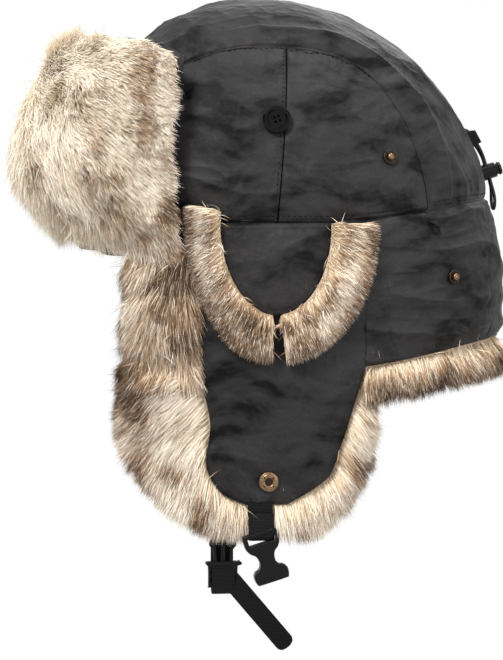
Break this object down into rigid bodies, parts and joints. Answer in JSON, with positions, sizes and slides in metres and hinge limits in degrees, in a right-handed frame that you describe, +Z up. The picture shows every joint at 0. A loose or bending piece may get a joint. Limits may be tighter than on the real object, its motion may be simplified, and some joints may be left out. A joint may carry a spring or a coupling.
{
  "type": "trapper hat",
  "caption": "Padded winter hat with a fold-down fur visor, fur-lined ear and neck flaps, buttoned ear covers, a chin buckle and a drawcord.",
  "frame": {"origin": "centre of the head opening, at the level of the wearer's ear lobes where the ear flaps fold", "axes": "+Z up, -Y towards the front of the hat, +X towards the wearer's left"},
  "size_m": [0.2292, 0.3367, 0.4556],
  "materials": {
    "nylon": "crinkled polyester taffeta with a soft sheen",
    "lining": "diamond-quilted satin lining",
    "faux_fur": "long-pile acrylic fur, cream, tan and brown",
    "antique_brass": "antique finish, worn bright on the edges",
    "black_plastic": "moulded acetal",
    "webbing": "ribbed polypropylene webbing",
    "gloss_button": "polished",
    "elastic": "braided elastic"
  },
  "bodies": {
    "hat_body": {"crown_center_strip": "nylon", "crown_side_panel_left": "nylon", "crown_side_panel_right": "nylon", "crown_lining": "lining", "sweatband": "lining", "forehead_band": "nylon", "side_band_left": "nylon", "side_band_right": "nylon", "neck_flap": "nylon", "neck_flap_fur": "faux_fur", "temple_fur_left": "faux_fur", "temple_fur_right": "faux_fur", "button_left": "gloss_button", "button_right": "gloss_button", "crown_snap_stud_left": "antique_brass", "crown_snap_stud_right": "antique_brass", "neck_snap_stud_left": "antique_brass", "neck_snap_stud_right": "antique_brass", "back_snap_stud": "antique_brass", "drawcord": "elastic", "ribbon_tab": "webbing"},
    "visor": {"visor_shell": "nylon", "visor_fur": "faux_fur"},
    "ear_flap_left": {"ear_flap_shell_left": "nylon", "ear_flap_fur_left": "faux_fur", "snap_socket_left": "antique_brass"},
    "ear_cover_left": {"ear_cover_shell_left": "nylon", "ear_cover_fur_front_left": "faux_fur", "ear_cover_fur_rear_left": "faux_fur", "ear_cover_loop_left": "elastic"},
    "ear_flap_right": {"ear_flap_shell_right": "nylon", "ear_flap_fur_right": "faux_fur", "snap_socket_right": "antique_brass"},
    "ear_cover_right": {"ear_cover_shell_right": "nylon", "ear_cover_fur_front_right": "faux_fur", "ear_cover_fur_rear_right": "faux_fur", "ear_cover_loop_right": "elastic"},
    "chin_strap_left": {"strap_left": "webbing"},
    "buckle_female": {"buckle_socket": "black_plastic"},
    "chin_strap_right": {"strap_right": "webbing"},
    "buckle_male": {"buckle_plug": "black_plastic"},
    "buckle_prong_front": {"buckle_arm_front": "black_plastic"},
    "buckle_prong_rear": {"buckle_arm_rear": "black_plastic"},
    "cord_lock": {"cord_lock_barrel": "black_plastic"},
    "cord_lock_button": {"cord_lock_plunger": "black_plastic"}
  },
  "joints": [
    {"name": "visor_fold", "type": "hinge", "parent": "hat_body", "child": "visor", "pos_m": [0, -0.1425, 0.0605], "axis": [1, 0, 0], "range_deg": [0, 95]},
    {"name": "ear_flap_left_fold", "type": "hinge", "parent": "hat_body", "child": "ear_flap_left", "pos_m": [0.118, -0.025, -0.014], "axis": [0, -1, 0], "range_deg": [0, 150]},
    {"name": "ear_cover_left_lift", "type": "hinge", "parent": "hat_body", "child": "ear_cover_left", "pos_m": [0.107, -0.028, 0.081], "axis": [0, -1, 0], "range_deg": [0, 150]},
    {"name": "ear_flap_right_fold", "type": "hinge", "parent": "hat_body", "child": "ear_flap_right", "pos_m": [-0.118, -0.025, -0.014], "axis": [0, 1, 0], "range_deg": [0, 150]},
    {"name": "ear_cover_right_lift", "type": "hinge", "parent": "hat_body", "child": "ear_cover_right", "pos_m": [-0.107, -0.028, 0.081], "axis": [0, 1, 0], "range_deg": [0, 150]},
    {"name": "strap_left_swing", "type": "hinge", "parent": "ear_flap_left", "child": "chin_strap_left", "pos_m": [0.09486, -0.037, -0.098], "axis": [0, -1, 0], "range_deg": [-70, 25]},
    {"name": "buckle_female_swing", "type": "hinge", "parent": "chin_strap_left", "child": "buckle_female", "pos_m": [0.09726, -0.03833, -0.11565], "axis": [0, -0.9563, -0.2924], "range_deg": [-12, 10]},
    {"name": "strap_right_swing", "type": "hinge", "parent": "ear_flap_right", "child": "chin_strap_right", "pos_m": [-0.09486, -0.037, -0.098], "axis": [0, 1, 0], "range_deg": [-70, 25]},
    {"name": "buckle_male_swing", "type": "hinge", "parent": "chin_strap_right", "child": "buckle_male", "pos_m": [-0.09046, -0.037, -0.1785], "axis": [0, 1, 0], "range_deg": [0, 30]},
    {"name": "prong_rear_squeeze", "type": "hinge", "parent": "buckle_male", "child": "buckle_prong_rear", "pos_m": [-0.09046, -0.0317, -0.1616], "axis": [1, 0, 0], "range_deg": [0, 9], "stiffness_Nm_per_rad": 0.05},
    {"name": "prong_front_squeeze", "type": "hinge", "parent": "buckle_male", "child": "buckle_prong_front", "pos_m": [-0.09046, -0.0423, -0.1616], "axis": [-1, 0, 0], "range_deg": [0, 9], "stiffness_Nm_per_rad": 0.05},
    {"name": "cord_lock_slide", "type": "slide", "parent": "hat_body", "child": "cord_lock", "axis": [0, 0.2924, -0.9563], "range_m": [-0.004, 0.004]},
    {"name": "cord_lock_press", "type": "slide", "parent": "cord_lock", "child": "cord_lock_button", "axis": [0, -0.9563, -0.2924], "range_m": [0, 0.0015], "stiffness_N_per_m": 300}
  ],
  "couplings": [
    {"joint": "prong_front_squeeze", "follows": "prong_rear_squeeze", "ratio": 1}
  ]
}
